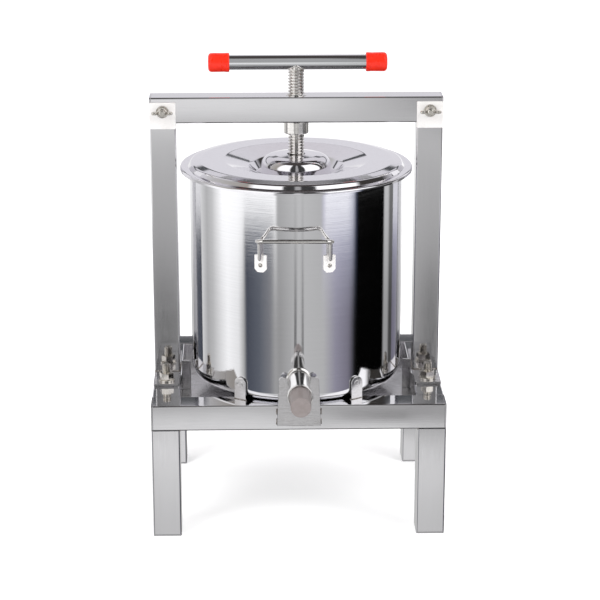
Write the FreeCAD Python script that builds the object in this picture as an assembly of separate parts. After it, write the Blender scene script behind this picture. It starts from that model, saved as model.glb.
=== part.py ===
import FreeCAD, Part
import math
import os

# Tabletop cheese press: a welded stand, a spouted drum with a lid, and a crossbar that carries
# the press screw. Millimetres. X to the right, Y to the back (the spout points to -Y), Z up.
# The origin is on the floor, at the centre of the four feet and below the screw.

V = FreeCAD.Vector
X_AXIS = V(1, 0, 0)
Y_AXIS = V(0, 1, 0)
Z_AXIS = V(0, 0, 1)

# --- stand ---------------------------------------------------------------------------------
base_length = 280.0
base_depth = 214.0
rail_width = 27.0
rail_height = 25.0
rail_top = 132.8
tube_wall = 1.5
end_plate = 1.5
pan_z = 116.0
pan_sheet = 1.2

# --- posts and crossbar --------------------------------------------------------------------
post_side = 25.0
post_x = base_length / 2 - post_side / 2 - 0.2
foot_plate_sheet = 2.5
foot_plate_half = 51.0
foot_bolt_y = 39.0
crossbar_bottom = 384.2
ear_sheet = 2.0
ear_bottom = 379.3
ear_height = 25.4
clamp_z = 396.2

# --- fasteners -----------------------------------------------------------------------------
foot_bolt_d = 8.0
foot_hole_d = 8.6
foot_nut_flats = 12.0
foot_nut_height = 6.5
foot_bolt_stick_out = 9.0
foot_head_height = 5.3
foot_washer_d = 16.0
foot_washer_sheet = 1.6
clamp_bolt_d = 6.0
clamp_hole_d = 6.6
clamp_head_flats = 10.0
clamp_head_height = 4.0
clamp_bolt_end = -26.0
clamp_washer_d = 12.0
clamp_washer_sheet = 1.2
wing_bore_d = 6.1
wing_hub_d = 10.0
wing_hub_length = 6.5
wing_span = 21.0
wing_reach = 9.5
wing_thick = 3.0

# --- press screw ---------------------------------------------------------------------------
screw_d = 15.6
screw_bore_d = 15.8
nut_collar_d = 24.2
nut_collar_height = 11.8
nut_neck_d = 20.0
handle_z = 440.6
handle_d = 14.2
handle_wall = 1.5
handle_half = 85.2
handle_offset = 1.5
cap_d = 18.4
cap_length = 20.3
cap_end = 1.8

# --- drum ----------------------------------------------------------------------------------
drum_radius = 102.9
drum_sheet = 1.0
drum_rim_radius = 109.0
drum_corner = 10.0
grip_azimuth = -2.0
grip_ear_azimuth = 18.0
grip_ear_width = 11.7
grip_ear_z = (261.5, 278.0)
grip_ear_sheet = 1.5
grip_ear_gap = 0.02
grip_ear_corner = 3.0
grip_rivet_d = 4.0
grip_rivet_height = 0.8
grip_wire_d = 3.8
grip_wire_overlap = 5.0
grip_half = 35.0
grip_reach = 20.8
grip_bend_z = 292.0
grip_z = 298.0

# --- spout ---------------------------------------------------------------------------------
spout_z = 157.4
spout_d = 20.0
spout_bore_d = 16.0
spout_end = -152.6
collar_d = 24.0
collar_reach = 4.0
bead_d = 24.0
bead_length = 5.2
bead_edge = 0.5
bead_recess_d = 21.8
bead_recess = 1.5
stopper_d = 19.8
stopper_face_d = 18.8
stopper_head = 28.5
stopper_plug_d = 15.9
stopper_plug = 14.0
spout_seat = spout_end + bead_recess

# --- stops, lugs and yoke ------------------------------------------------------------------
lug_width = 12.5
lug_height = 22.0
lug_sheet = 1.5
lug_radius = 103.8
lug_azimuth = 32.0
side_stop_y = -15.0
side_stop_gap = 1.4
side_stop_top = 147.0
yoke_width = 41.6
yoke_top_width = 38.0
yoke_bottom = 112.8
yoke_top = 161.8
yoke_sheet = 2.0
yoke_notch = 21.2

# --- lid -----------------------------------------------------------------------------------
lid_sheet = 0.8
lid_radius = 112.0
lid_flange_z = 341.4
lid_plateau_z = 346.8
lid_hole_d = 17.2
lid_ledge_radius = 104.0
lid_step_radius = 101.0
lid_crown_radius = 92.0
lid_dish_radius = 70.0
lid_dish_foot = (46.5, 340.2)
lid_well_foot = (40.5, 331.0)
lid_dome_radius = 33.0
lid_dome_side = 348.6
lid_dome_shoulder = (20.0, 350.2)
lid_dome_z = 350.8
drum_rim_z = lid_flange_z - lid_sheet - drum_sheet

# --- inside the drum -----------------------------------------------------------------------
basket_radius = 96.0
basket_sheet = 1.0
basket_bottom = 138.0
basket_top = 326.0
basket_foot_height = 4.0
basket_hole_d = 5.0
basket_hole_rows = 6
basket_hole_columns = 20
plate_radius = 92.0
plate_sheet = 4.0
plate_z = 164.0
plate_hole_d = 5.0
hub_d = 36.0
hub_base_height = 9.0
hub_cap_height = 6.0
screw_foot_d = 24.0
screw_foot_height = 5.0
swivel_gap = 0.3


# --- helpers -------------------------------------------------------------------------------
def box(x0, x1, y0, y1, z0, z1):
    return Part.makeBox(x1 - x0, y1 - y0, z1 - z0, V(x0, y0, z0))


def rod(diameter, start, end):
    """A round bar from start to end."""
    return Part.makeCylinder(diameter / 2, (end - start).Length, start, end - start)


def ring(outer_d, inner_d, start, end):
    return rod(outer_d, start, end).cut(rod(inner_d, start, end))


def hexagon(flats, start, end):
    """A hexagonal bar from start to end, with two corners pointing up on a level axis."""
    axis = (end - start).normalize()
    corner = flats / math.sqrt(3)
    side = Z_AXIS if abs(axis.z) < 0.5 else X_AXIS
    other = axis.cross(side)
    points = []
    for i in range(7):
        a = math.radians(60 * i)
        points.append(start + side * (corner * math.cos(a)) + other * (corner * math.sin(a)))
    return Part.Face(Part.makePolygon(points)).extrude(end - start)


def turned(shape, degrees):
    """A copy of the shape, turned about the screw's axis."""
    copy = shape.copy()
    copy.rotate(V(0, 0, 0), Z_AXIS, degrees)
    return copy


def mirrored_x(shape):
    return shape.mirror(V(0, 0, 0), X_AXIS)


def mirrored_y(shape):
    return shape.mirror(V(0, 0, 0), Y_AXIS)


def rounded_path(corners):
    """Edges of straight runs joined by tangent arcs. Each corner is (point, radius)."""
    edges = []
    start = corners[0][0]
    for i in range(1, len(corners) - 1):
        point, radius = corners[i]
        if radius <= 0:
            edges.append(Part.makeLine(start, point))
            start = point
            continue
        back = (corners[i - 1][0] - point).normalize()
        ahead = (corners[i + 1][0] - point).normalize()
        half = back.getAngle(ahead) / 2
        tangent = radius / math.tan(half)
        middle = point + (back + ahead).normalize() * (radius / math.sin(half) - radius)
        first = point + back * tangent
        last = point + ahead * tangent
        if (first - start).Length > 1e-6:
            edges.append(Part.makeLine(start, first))
        edges.append(Part.Arc(first, middle, last).toShape())
        start = last
    edges.append(Part.makeLine(start, corners[-1][0]))
    return edges


def offset_corners(corners, distance):
    """The corners of a parallel path in the XZ plane, moved to the left of the way it runs."""
    points = [c[0] for c in corners]
    moved = []
    for i, (point, radius) in enumerate(corners):
        before = (point - points[i - 1]).normalize() if i > 0 else None
        after = (points[i + 1] - point).normalize() if i < len(points) - 1 else None
        before = before or after
        after = after or before
        left_before = V(-before.z, 0, before.x)
        left_after = V(-after.z, 0, after.x)
        mitre = (left_before + left_after).normalize()
        moved_point = point + mitre * (distance / mitre.dot(left_before))
        turn_left = before.x * after.z - before.z * after.x > 0
        new_radius = radius - distance if turn_left else radius + distance
        moved.append((moved_point, max(new_radius, 0) if radius > 0 else 0))
    return moved


def turned_sheet(corners, thickness):
    """A sheet of the given thickness, turned about the Z axis. Corners are (radius, z, round)."""
    near = [(V(r, 0, z), rounding) for r, z, rounding in corners]
    far = offset_corners(near, thickness)
    edges = rounded_path(near)
    edges.append(Part.makeLine(near[-1][0], far[-1][0]))
    edges += rounded_path(list(reversed(far)))
    edges.append(Part.makeLine(far[0][0], near[0][0]))
    face = Part.Face(Part.Wire(Part.__sortEdges__(edges)))
    return face.revolve(V(0, 0, 0), Z_AXIS, 360)


def save(name, shapes):
    """Writes one node. Several shapes in it are separate solids."""
    shape = shapes[0] if len(shapes) == 1 else Part.makeCompound(shapes)
    for solid in shape.Solids:
        assert solid.isValid() and solid.Volume > 0, name
    shape.exportStep(os.path.join("parts", name + ".step"))


# --- stand ---------------------------------------------------------------------------------
half_length = base_length / 2
half_depth = base_depth / 2
rail_bottom = rail_top - rail_height


def front_rail():
    """Square tube along X, open where the end plates are welded on."""
    y0, y1 = -half_depth, -half_depth + rail_width
    x = half_length - end_plate
    outer = box(-x, x, y0, y1, rail_bottom, rail_top)
    w = tube_wall
    return outer.cut(box(-x, x, y0 + w, y1 - w, rail_bottom + w, rail_top - w))


def rail_end_plate():
    """Closes the front rail's right end."""
    x0, x1 = half_length - end_plate, half_length
    return box(x0, x1, -half_depth, -half_depth + rail_width, rail_bottom, rail_top)


def right_side_rail():
    x0, x1 = half_length - rail_width, half_length
    y = half_depth - rail_width
    w = tube_wall
    outer = box(x0, x1, -y, y, rail_bottom, rail_top)
    tube = outer.cut(box(x0 + w, x1 - w, -y, y, rail_bottom + w, rail_top - w))
    for side in (-1, 1):
        hole_y = side * foot_bolt_y
        tube = tube.cut(rod(foot_hole_d, V(post_x, hole_y, 0), V(post_x, hole_y, 200)))
    return tube


def leg():
    """The front right leg, a square tube closed by its foot."""
    x0, x1 = half_length - rail_width, half_length
    y0, y1 = -half_depth, -half_depth + rail_width
    w = tube_wall
    outer = box(x0, x1, y0, y1, end_plate, rail_bottom)
    return outer.cut(box(x0 + w, x1 - w, y0 + w, y1 - w, end_plate, rail_bottom))


def leg_foot():
    x0, x1 = half_length - rail_width, half_length
    return box(x0, x1, -half_depth, -half_depth + rail_width, 0, end_plate)


def floor_pan():
    """A flat sheet that closes the stand below the drum."""
    x = half_length - rail_width
    y = half_depth - rail_width
    return box(-x, x, -y, y, pan_z, pan_z + pan_sheet)


def make_stand():
    rail = front_rail()
    save("front_rail", [rail])
    save("rear_rail", [mirrored_y(rail)])
    side = right_side_rail()
    save("right_side_rail", [side])
    save("left_side_rail", [mirrored_x(side)])
    plate = rail_end_plate()
    save("rail_end_plates", corner_copies(plate))
    for name, one in zip(("front_right", "front_left", "rear_right", "rear_left"), corner_copies(leg())):
        save(name + "_leg", [one])
    save("leg_feet", corner_copies(leg_foot()))
    save("floor_pan", [floor_pan()])


def corner_copies(shape):
    """The shape at the front right, front left, rear right and rear left corner."""
    left = mirrored_x(shape)
    return [shape, left, mirrored_y(shape), mirrored_y(left)]


# --- posts ---------------------------------------------------------------------------------
plate_top = rail_top + foot_plate_sheet


def foot_plate():
    h = post_side / 2
    plate = box(post_x - h, post_x + h, -foot_plate_half, foot_plate_half, rail_top, plate_top)
    for side in (-1, 1):
        hole_y = side * foot_bolt_y
        plate = plate.cut(rod(foot_hole_d, V(post_x, hole_y, 0), V(post_x, hole_y, 200)))
    return plate


def post():
    h = post_side / 2
    inner = h - tube_wall
    outer = box(post_x - h, post_x + h, -h, h, plate_top, crossbar_bottom)
    return outer.cut(
        box(post_x - inner, post_x + inner, -inner, inner, plate_top, crossbar_bottom)
    )


def foot_bolt():
    """Hex bolt from below, through the side rail and the foot plate."""
    y = -foot_bolt_y
    under = rail_bottom - foot_washer_sheet
    top = plate_top + foot_washer_sheet + foot_nut_height + foot_bolt_stick_out
    shank = rod(foot_bolt_d, V(post_x, y, under), V(post_x, y, top))
    end = [e for e in shank.Edges if e.BoundBox.ZMin > top - 0.1]
    head = hexagon(foot_nut_flats, V(post_x, y, under - foot_head_height), V(post_x, y, under))
    return shank.makeChamfer(0.8, end).fuse(head).removeSplitter()


def foot_washer(z):
    y = -foot_bolt_y
    return ring(foot_washer_d, foot_hole_d, V(post_x, y, z), V(post_x, y, z + foot_washer_sheet))


def foot_nut():
    y = -foot_bolt_y
    z0 = plate_top + foot_washer_sheet
    body = hexagon(foot_nut_flats, V(post_x, y, z0), V(post_x, y, z0 + foot_nut_height))
    return body.cut(rod(foot_bolt_d, V(post_x, y, 0), V(post_x, y, 200)))


def ear():
    """A plate on the post's front face that stands up in front of the crossbar."""
    h = post_side / 2
    plate = box(post_x - h, post_x + h, -h - ear_sheet, -h, ear_bottom, ear_bottom + ear_height)
    return plate.cut(rod(clamp_hole_d, V(post_x, -50, clamp_z), V(post_x, 50, clamp_z)))


def make_posts():
    parts = {"foot_plate": foot_plate(), "post": post()}
    for name, shape in parts.items():
        save("right_" + name, [shape])
        save("left_" + name, [mirrored_x(shape)])
    ears = [ear(), mirrored_y(ear())]
    save("right_crossbar_ears", ears)
    save("left_crossbar_ears", [mirrored_x(e) for e in ears])
    save("foot_bolts", corner_copies(foot_bolt()))
    save("foot_nuts", corner_copies(foot_nut()))
    washers = corner_copies(foot_washer(plate_top))
    washers += corner_copies(foot_washer(rail_bottom - foot_washer_sheet))
    save("foot_washers", washers)


# --- crossbar ------------------------------------------------------------------------------
crossbar_top = crossbar_bottom + post_side


def crossbar():
    h = post_side / 2
    x = half_length - end_plate
    inner = h - tube_wall
    middle = (crossbar_bottom + crossbar_top) / 2
    tube = box(-x, x, -h, h, crossbar_bottom, crossbar_top)
    tube = tube.cut(box(-x, x, -inner, inner, middle - inner, middle + inner))
    tube = tube.cut(rod(nut_neck_d, V(0, 0, crossbar_bottom - 1), V(0, 0, crossbar_top + 1)))
    for side in (-1, 1):
        x = side * post_x
        tube = tube.cut(rod(clamp_hole_d, V(x, -50, clamp_z), V(x, 50, clamp_z)))
    return tube


def crossbar_end_plate():
    h = post_side / 2
    return box(half_length - end_plate, half_length, -h, h, crossbar_bottom, crossbar_top)


def screw_nut():
    """The threaded bush: a collar under the crossbar and a neck through it."""
    low = V(0, 0, crossbar_bottom - nut_collar_height)
    seat = V(0, 0, crossbar_bottom)
    top = V(0, 0, crossbar_top)
    body = rod(nut_collar_d, low, seat).fuse(rod(nut_neck_d, seat, top)).removeSplitter()
    return body.cut(rod(screw_bore_d, low, top))


def clamp_bolt():
    """Hex bolt from behind, through both ears and the crossbar."""
    back = post_side / 2 + ear_sheet
    shank = rod(clamp_bolt_d, V(post_x, back, clamp_z), V(post_x, clamp_bolt_end, clamp_z))
    head = hexagon(
        clamp_head_flats, V(post_x, back, clamp_z), V(post_x, back + clamp_head_height, clamp_z)
    )
    return shank.fuse(head).removeSplitter()


washer_y = -post_side / 2 - ear_sheet - clamp_washer_sheet
hub_end_y = washer_y - wing_hub_length


def clamp_washer():
    near = washer_y + clamp_washer_sheet
    return ring(clamp_washer_d, wing_bore_d, V(post_x, near, clamp_z), V(post_x, washer_y, clamp_z))


def wing():
    """One wing of a wing nut: a flat blade with a rounded tip that leans outwards."""
    root = post_x + 2.0
    tip = post_x + wing_span / 2
    y_root = washer_y - 1.0
    y_tip = washer_y - wing_reach
    corners = [
        (V(root, y_root, 0), 0),
        (V(post_x + wing_hub_d / 2 + 1.0, y_root, 0), 1.0),
        (V(tip, y_tip + 5.5, 0), 1.5),
        (V(tip, y_tip, 0), 2.4),
        (V(tip - 5.2, y_tip, 0), 2.4),
        (V(root, hub_end_y, 0), 0),
    ]
    edges = rounded_path(corners)
    edges.append(Part.makeLine(corners[-1][0], corners[0][0]))
    face = Part.Face(Part.Wire(Part.__sortEdges__(edges)))
    face.translate(V(0, 0, clamp_z - wing_thick / 2))
    return face.extrude(V(0, 0, wing_thick))


def wing_nut():
    hub = Part.makeCone(
        wing_hub_d / 2, wing_hub_d / 2 - 1.0, wing_hub_length, V(post_x, washer_y, clamp_z), -Y_AXIS
    )
    right = wing()
    left = right.mirror(V(post_x, 0, 0), X_AXIS)
    body = hub.fuse([right, left]).removeSplitter()
    return body.cut(rod(wing_bore_d, V(post_x, washer_y + 1, clamp_z), V(post_x, -60, clamp_z)))


def make_crossbar():
    save("crossbar", [crossbar()])
    plate = crossbar_end_plate()
    save("crossbar_end_plates", [plate, mirrored_x(plate)])
    save("screw_nut", [screw_nut()])
    bolt = clamp_bolt()
    save("clamp_bolts", [bolt, mirrored_x(bolt)])
    moving = {"clamp_washer": clamp_washer(), "wing_nut": wing_nut()}
    for name, shape in moving.items():
        save("right_" + name, [shape])
        save("left_" + name, [mirrored_x(shape)])


# --- lugs, stops and yoke ------------------------------------------------------------------
def lug():
    """An upright tongue with a round top, tangent to the drum."""
    half = lug_width / 2
    body = box(-half, half, -lug_radius - lug_sheet, -lug_radius, rail_top, rail_top + lug_height)
    round_end = rod(
        lug_width,
        V(0, -lug_radius, rail_top + lug_height - half),
        V(0, -lug_radius - lug_sheet, rail_top + lug_height - half),
    )
    square_end = box(
        -half,
        half,
        -lug_radius - lug_sheet,
        -lug_radius,
        rail_top + lug_height - half,
        rail_top + lug_height,
    )
    return body.cut(square_end).fuse(round_end).removeSplitter()


def side_stop():
    """A small upright plate between the side rail and the drum's widest point."""
    x0 = drum_radius + side_stop_gap
    x1 = half_length - rail_width
    y = side_stop_y
    return box(x0, x1, y, y + lug_sheet, pan_z + pan_sheet, side_stop_top)


def spout_yoke():
    """A plate on the front rail whose two prongs stand beside the spout."""
    foot = yoke_width / 2
    half = yoke_top_width / 2
    y0, y1 = -half_depth - yoke_sheet, -half_depth
    prong = (yoke_top_width - yoke_notch) / 2
    round_z = yoke_top - prong / 2
    outline = [
        V(-foot, y0, yoke_bottom),
        V(foot, y0, yoke_bottom),
        V(half, y0, round_z),
        V(-half, y0, round_z),
        V(-foot, y0, yoke_bottom),
    ]
    plate = Part.Face(Part.makePolygon(outline)).extrude(V(0, yoke_sheet, 0))
    for side in (-1, 1):
        x = side * (half - prong / 2)
        plate = plate.fuse(rod(prong, V(x, y0, round_z), V(x, y1, round_z)))
    plate = plate.removeSplitter()
    plate = plate.cut(rod(yoke_notch, V(0, y0, spout_z), V(0, y1, spout_z)))
    return plate.cut(box(-yoke_notch / 2, yoke_notch / 2, y0, y1, spout_z, yoke_top + 1))


def make_drum_stops():
    front = [turned(lug(), lug_azimuth), turned(lug(), -lug_azimuth)]
    save("front_drum_lugs", front)
    save("rear_drum_lugs", [mirrored_y(one) for one in front])
    stop = side_stop()
    save("side_drum_stops", [stop, mirrored_x(stop)])
    save("spout_yoke", [spout_yoke()])


# --- drum and spout ------------------------------------------------------------------------
def drum():
    """Deep-drawn pot with a rounded bottom corner and a flat rim turned outwards."""
    corners = [
        (0, rail_top, 0),
        (drum_radius, rail_top, drum_corner),
        (drum_radius, drum_rim_z, 2.0),
        (drum_rim_radius, drum_rim_z, 0),
    ]
    pot = turned_sheet(corners, drum_sheet)
    hole = rod(spout_bore_d, V(0, -drum_radius - 5, spout_z), V(0, -drum_radius + 10, spout_z))
    return pot.cut(hole)


def drum_outside():
    return rod(2 * drum_radius, V(0, 0, rail_top), V(0, 0, drum_rim_z))


def spout_pipe():
    start = V(0, -drum_radius + 8, spout_z)
    pipe = ring(spout_d, spout_bore_d, start, V(0, spout_seat, spout_z))
    return pipe.cut(drum_outside())


def spout_collar():
    start = V(0, -drum_radius + 8, spout_z)
    end = V(0, -drum_radius - collar_reach, spout_z)
    return ring(collar_d, spout_d, start, end).cut(drum_outside())


def spout_bead():
    """The thick ring round the spout's end, with a lip that stands out past the pipe."""
    start = V(0, spout_end + bead_length, spout_z)
    body = rod(bead_d, start, V(0, spout_end, spout_z))
    rims = [e for e in body.Edges if e.Curve.TypeId == "Part::GeomCircle"]
    body = body.makeFillet(bead_edge, rims)
    lip = V(0, spout_end, spout_z)
    body = body.cut(rod(bead_recess_d, V(0, spout_seat, spout_z), lip))
    return body.cut(rod(spout_d, start, lip))


def stopper():
    """A plug with a long, slightly tapered round head, pushed into the spout."""
    seat = V(0, spout_seat, spout_z)
    head = Part.makeCone(
        stopper_d / 2, stopper_face_d / 2, stopper_head + bead_recess, seat, -Y_AXIS
    )
    rims = [e for e in head.Edges if e.Curve.TypeId == "Part::GeomCircle"]
    front = [e for e in rims if e.BoundBox.YMax < spout_end - 1]
    head = head.makeFillet(0.8, front)
    plug = Part.makeCone(
        stopper_plug_d / 2, stopper_plug_d / 2 - 0.8, stopper_plug, seat, Y_AXIS
    )
    return head.fuse(plug).removeSplitter()


grip_ear_outside = drum_radius + grip_ear_gap + grip_ear_sheet


def grip_ear(side):
    """A tab that follows the drum's wall, with its lower corners cut off."""
    z0, z1 = grip_ear_z
    half = grip_ear_width / 2
    corner = grip_ear_corner
    inner_d = 2 * (drum_radius + grip_ear_gap)
    shell = ring(2 * grip_ear_outside, inner_d, V(0, 0, z0), V(0, 0, z1))
    front = -drum_radius - 20
    outline = [
        V(-half, front, z1),
        V(half, front, z1),
        V(half, front, z0 + corner),
        V(half - corner, front, z0),
        V(-half + corner, front, z0),
        V(-half, front, z0 + corner),
        V(-half, front, z1),
    ]
    block = Part.Face(Part.makePolygon(outline)).extrude(V(0, 60, 0))
    return turned(shell.common(block), side * grip_ear_azimuth + grip_azimuth)


def grip_rivet(side):
    """The round rivet head on the lower half of an ear."""
    z = sum(grip_ear_z) / 2 - 1.5
    inside = V(0, -grip_ear_outside + 0.5, z)
    head = rod(grip_rivet_d, inside, V(0, -grip_ear_outside - grip_rivet_height, z))
    ear_face = rod(2 * grip_ear_outside, V(0, 0, z - grip_rivet_d), V(0, 0, z + grip_rivet_d))
    return turned(head.cut(ear_face), side * grip_ear_azimuth + grip_azimuth)


def wire_grip():
    """One bent wire: up from each ear, out from the drum, and across."""
    wire_r = grip_wire_d / 2
    foot_radius = grip_ear_outside + wire_r + grip_ear_gap
    ear_angle = math.radians(grip_ear_azimuth)
    foot_x = foot_radius * math.sin(ear_angle)
    foot_y = -foot_radius * math.cos(ear_angle)
    front_y = -drum_radius - grip_reach
    z_low = grip_ear_z[1] - grip_wire_overlap
    corners = [
        (V(-foot_x, foot_y, z_low), 0),
        (V(-foot_x, foot_y, grip_bend_z), 4.0),
        (V(-grip_half, front_y, grip_z), 6.0),
        (V(grip_half, front_y, grip_z), 6.0),
        (V(foot_x, foot_y, grip_bend_z), 4.0),
        (V(foot_x, foot_y, z_low), 0),
    ]
    path = Part.Wire(rounded_path(corners))
    section = Part.Wire(Part.makeCircle(wire_r, corners[0][0], Z_AXIS))
    return turned(path.makePipeShell([section], True, True), grip_azimuth)


def make_drum():
    save("drum", [drum()])
    save("spout_pipe", [spout_pipe()])
    save("spout_collar", [spout_collar()])
    save("spout_bead", [spout_bead()])
    save("stopper", [stopper()])
    front_grip = wire_grip()
    ears = [grip_ear(-1), grip_ear(1)]
    rivets = [grip_rivet(-1), grip_rivet(1)]
    save("front_grip", [front_grip])
    save("rear_grip", [turned(front_grip, 180)])
    save("grip_ears", ears + [turned(one, 180) for one in ears])
    save("grip_rivets", rivets + [turned(one, 180) for one in rivets])


# --- lid -----------------------------------------------------------------------------------
def lid():
    """Pressed lid: turned-down rim, raised plateau, shallow dish, round well and a tall dome."""
    under = lid_sheet
    rim_top = lid_flange_z - under
    plateau = lid_plateau_z - under
    corners = [
        (lid_radius - under, rim_top - 2.6, 0),
        (lid_radius - under, rim_top, 1.0),
        (lid_ledge_radius, rim_top, 1.2),
        (lid_step_radius, plateau - 1.4, 3.0),
        (lid_crown_radius, plateau, 20.0),
        (lid_dish_radius, plateau, 6.0),
        (*lid_dish_foot, 3.0),
        (*lid_well_foot, 2.5),
        (lid_dome_radius, lid_well_foot[1], 2.0),
        (lid_dome_radius, lid_dome_side, 9.0),
        (*lid_dome_shoulder, 15.0),
        (lid_hole_d / 2, lid_dome_z, 0),
    ]
    return turned_sheet(corners, -lid_sheet)


# --- basket, pressing plate and screw ------------------------------------------------------
def basket():
    """Perforated mould that stands on three feet pressed out of its bottom."""
    corners = [
        (0, basket_bottom, 0),
        (basket_radius, basket_bottom, 6.0),
        (basket_radius, basket_top, 0),
    ]
    shell = turned_sheet(corners, basket_sheet)
    pitch = (basket_top - basket_bottom) / (basket_hole_rows + 1)
    holes = []
    for row in range(basket_hole_rows):
        z = basket_bottom + pitch * (row + 1)
        for column in range(basket_hole_columns):
            spoke = rod(basket_hole_d, V(basket_radius - 5, 0, z), V(basket_radius + 5, 0, z))
            step = 360 / basket_hole_columns
            holes.append(turned(spoke, step * (column + 0.5 * (row % 2))))
    for radius, count in ((30.0, 6), (60.0, 12)):
        for i in range(count):
            hole = rod(
                basket_hole_d,
                V(radius, 0, basket_bottom - 5),
                V(radius, 0, basket_bottom + 5),
            )
            holes.append(turned(hole, 360 / count * i))
    return shell.cut(Part.makeCompound(holes))


def basket_foot():
    start = V(80, 0, basket_bottom - basket_foot_height - 0.1)
    return rod(10.0, start, V(80, 0, basket_bottom))


def press_plate():
    low = V(0, 0, plate_z)
    plate = rod(2 * plate_radius, low, V(0, 0, plate_z + plate_sheet))
    holes = []
    for radius, count in ((35.0, 8), (58.0, 16), (80.0, 24)):
        for i in range(count):
            hole = rod(
                plate_hole_d, V(radius, 0, plate_z - 1), V(radius, 0, plate_z + plate_sheet + 1)
            )
            holes.append(turned(hole, 360 / count * i))
    return plate.cut(Part.makeCompound(holes))


hub_bottom = plate_z + plate_sheet
hub_seam = hub_bottom + hub_base_height


def swivel_hub():
    """A cup on the pressing plate that the screw's foot turns in."""
    body = rod(hub_d, V(0, 0, hub_bottom), V(0, 0, hub_seam))
    pocket_z = hub_seam - screw_foot_height - 2 * swivel_gap
    pocket_d = screw_foot_d + 2 * swivel_gap
    return body.cut(rod(pocket_d, V(0, 0, pocket_z), V(0, 0, hub_seam)))


def swivel_cap():
    """A ring over the cup that keeps the screw's foot in."""
    return ring(hub_d, screw_d + 2 * swivel_gap, V(0, 0, hub_seam), V(0, 0, hub_seam + hub_cap_height))


def press_screw():
    """The plain core of the screw, from the foot in the swivel to the notch under the handle."""
    foot_top = hub_seam - swivel_gap
    foot = rod(screw_foot_d, V(0, 0, foot_top - screw_foot_height), V(0, 0, foot_top))
    bar = rod(screw_d, V(0, 0, foot_top), V(0, 0, handle_z - 2.0))
    body = foot.fuse(bar).removeSplitter()
    notch = rod(handle_d, V(-30, 0, handle_z), V(30, 0, handle_z))
    return body.cut(notch)


def handle_tube():
    x0 = handle_offset - handle_half + cap_end
    x1 = handle_offset + handle_half - cap_end
    return ring(handle_d, handle_d - 2 * handle_wall, V(x0, 0, handle_z), V(x1, 0, handle_z))


def handle_cap(side):
    """A soft cap with a rounded end, pushed over the handle's end."""
    end_x = handle_offset + side * handle_half
    start_x = end_x - side * cap_length
    body = rod(cap_d, V(start_x, 0, handle_z), V(end_x, 0, handle_z))
    rims = [e for e in body.Edges if e.Curve.TypeId == "Part::GeomCircle"]
    outer = [e for e in rims if abs(e.BoundBox.Center.x - end_x) < 0.5]
    body = body.makeFillet(2.5, outer)
    return body.cut(
        rod(handle_d, V(start_x, 0, handle_z), V(end_x - side * cap_end, 0, handle_z))
    )


def make_press():
    save("lid", [lid()])
    save("strainer_basket", [basket()])
    foot = basket_foot()
    save("basket_feet", [turned(foot, 120 * i) for i in range(3)])
    save("press_plate", [press_plate()])
    save("swivel_hub", [swivel_hub()])
    save("swivel_cap", [swivel_cap()])
    save("press_screw", [press_screw()])
    save("handle_tube", [handle_tube()])
    save("left_handle_cap", [handle_cap(-1)])
    save("right_handle_cap", [handle_cap(1)])


os.makedirs("parts", exist_ok=True)
make_stand()
make_posts()
make_crossbar()
make_drum_stops()
make_drum()
make_press()
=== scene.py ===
import math
import random

import bmesh
import bpy
from mathutils import Matrix, Vector


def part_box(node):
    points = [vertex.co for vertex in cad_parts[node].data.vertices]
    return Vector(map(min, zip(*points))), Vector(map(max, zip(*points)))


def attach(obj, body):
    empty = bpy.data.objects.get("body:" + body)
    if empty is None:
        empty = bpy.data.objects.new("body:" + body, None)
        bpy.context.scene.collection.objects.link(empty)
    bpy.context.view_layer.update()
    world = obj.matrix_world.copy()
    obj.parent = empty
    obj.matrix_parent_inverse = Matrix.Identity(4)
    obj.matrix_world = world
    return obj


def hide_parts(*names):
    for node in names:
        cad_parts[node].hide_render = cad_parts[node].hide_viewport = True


# Looks of the cheese press. Shapes are built in millimetres in the CAD frame (+Z up, the spout
# points to -Y) and scaled to metres when they become a piece.

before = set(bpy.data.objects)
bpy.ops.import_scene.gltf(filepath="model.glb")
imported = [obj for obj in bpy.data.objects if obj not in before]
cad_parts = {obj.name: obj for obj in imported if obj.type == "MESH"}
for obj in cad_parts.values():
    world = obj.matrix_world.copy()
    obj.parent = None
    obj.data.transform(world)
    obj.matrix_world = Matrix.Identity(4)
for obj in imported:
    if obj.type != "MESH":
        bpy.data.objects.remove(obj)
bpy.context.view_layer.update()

MM = 0.001
scene = bpy.context.scene
AXES = (Vector((1, 0, 0)), Vector((0, 1, 0)), Vector((0, 0, 1)))
Z_TO_X = Matrix.Rotation(math.radians(90), 4, "Y")
Z_TO_FRONT = Matrix.Rotation(math.radians(90), 4, "X")

# --- driving dimensions, in mm and degrees ---
# Tubes, plates and turned parts
TUBE_CORNER = 1.6
TUBE_WALL = 1.5
EDGE = 0.3
PLATE_EDGE = 0.35
ROUND_STEPS = 128
SHARP_ANGLE = 32

# Press screw, its handle's caps and the nut it runs in
SCREW_DIAMETER = 15.6
SCREW_PITCH = 3.0
SCREW_DEPTH = 1.55
SCREW_FOOT = 24.0
SCREW_FOOT_HEIGHT = 5.0
SCREW_BELOW_HANDLE = 5.2
SCREW_STUB_RADIUS = 6.25
CAP_BORE_RADIUS = 7.1
NUT_NECK_RADIUS = 10.0
NUT_BORE_RADIUS = 7.9

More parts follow.
